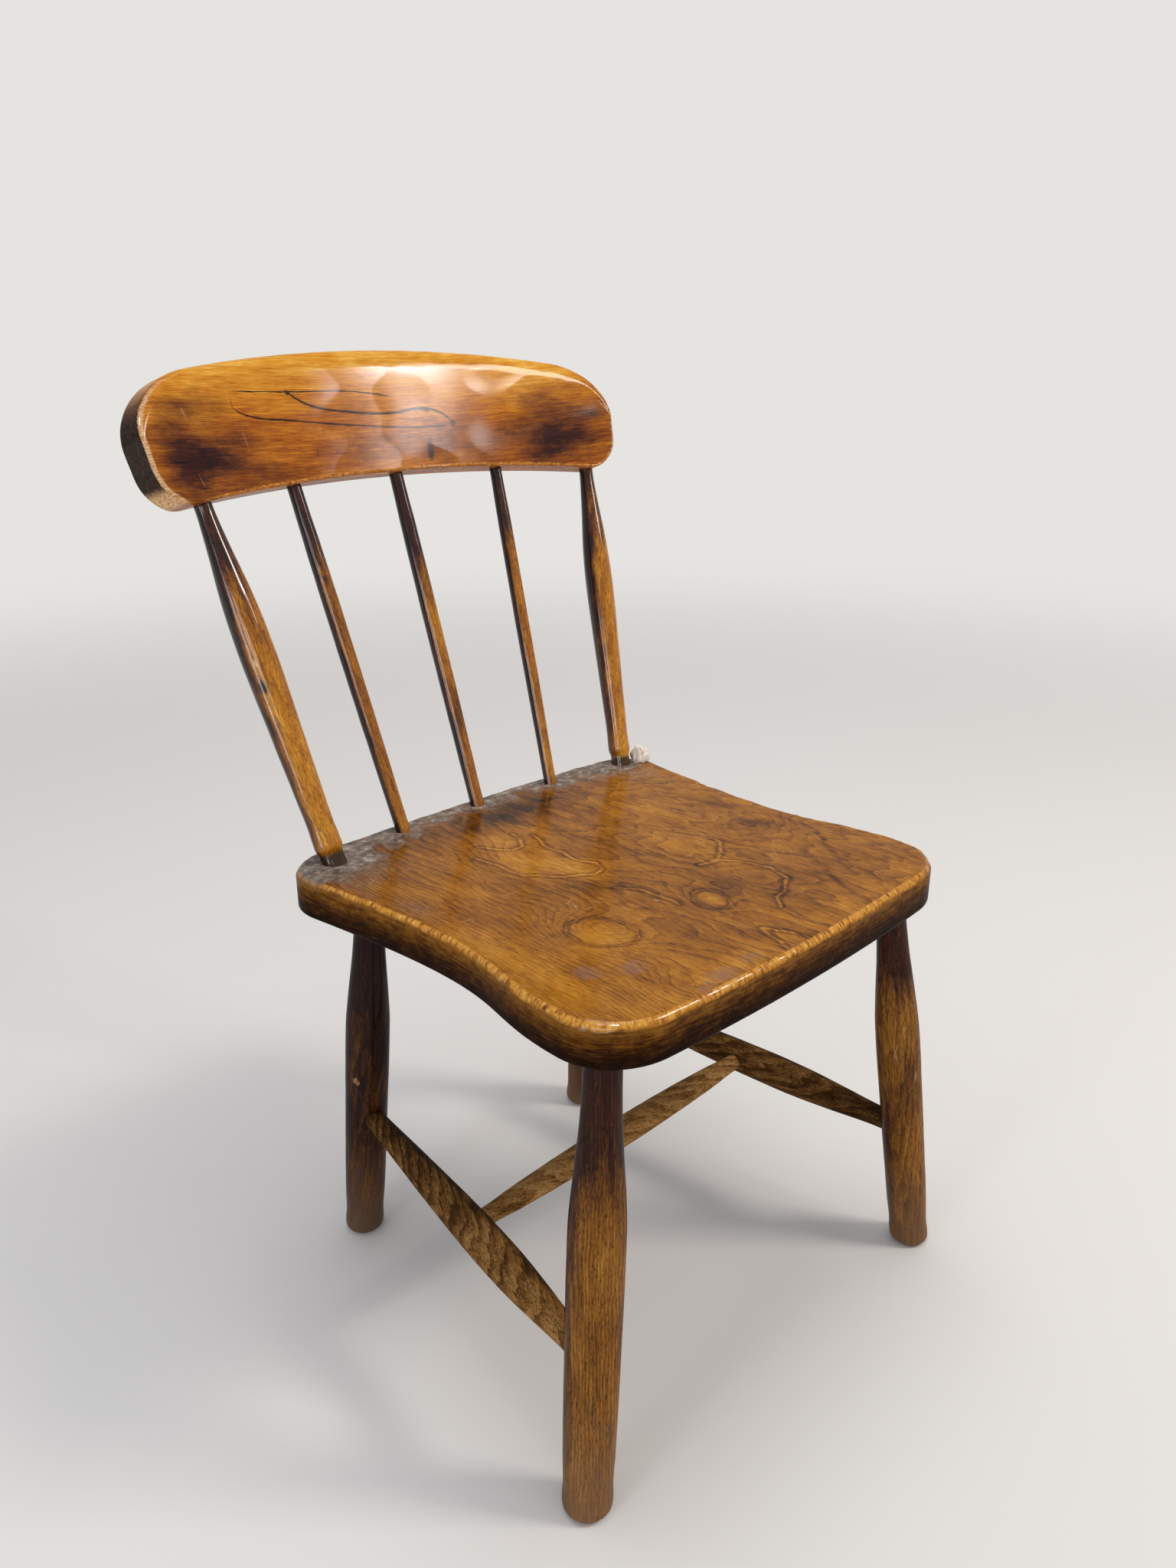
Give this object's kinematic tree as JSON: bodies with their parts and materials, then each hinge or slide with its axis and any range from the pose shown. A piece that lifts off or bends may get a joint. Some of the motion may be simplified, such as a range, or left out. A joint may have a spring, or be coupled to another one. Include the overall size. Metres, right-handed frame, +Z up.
{
  "type": "child's stick-back chair",
  "caption": "Low wooden child's chair: thick waisted plank seat, turned splayed legs with an H stretcher, a spindle back and a bowed crest rail.",
  "frame": {"origin": "on the floor, under the middle of the chair's bounding box", "axes": "+Z up from the floor, -Y towards the front edge of the seat, +X towards the sitter's left hand"},
  "size_m": [0.4242, 0.4424, 0.6593],
  "materials": {
    "elm_seat": "worn dark varnish on elm",
    "crest_rail_wood": "worn amber varnish on a plain hardwood board",
    "turned_beech": "dark varnish on beech, rubbed through in places",
    "stretcher_beech": "dull, flaking varnish on beech"
  },
  "bodies": {
    "root": {"seat": "elm_seat", "crest_rail": "crest_rail_wood", "leg_front_left": "turned_beech", "leg_front_right": "turned_beech", "leg_back_left": "turned_beech", "leg_back_right": "turned_beech", "stretcher_left": "stretcher_beech", "stretcher_right": "stretcher_beech", "stretcher_cross": "stretcher_beech", "post_left": "turned_beech", "stick_left": "turned_beech", "stick_middle": "turned_beech", "stick_right": "turned_beech", "post_right": "turned_beech"}
  },
  "joints": []
}
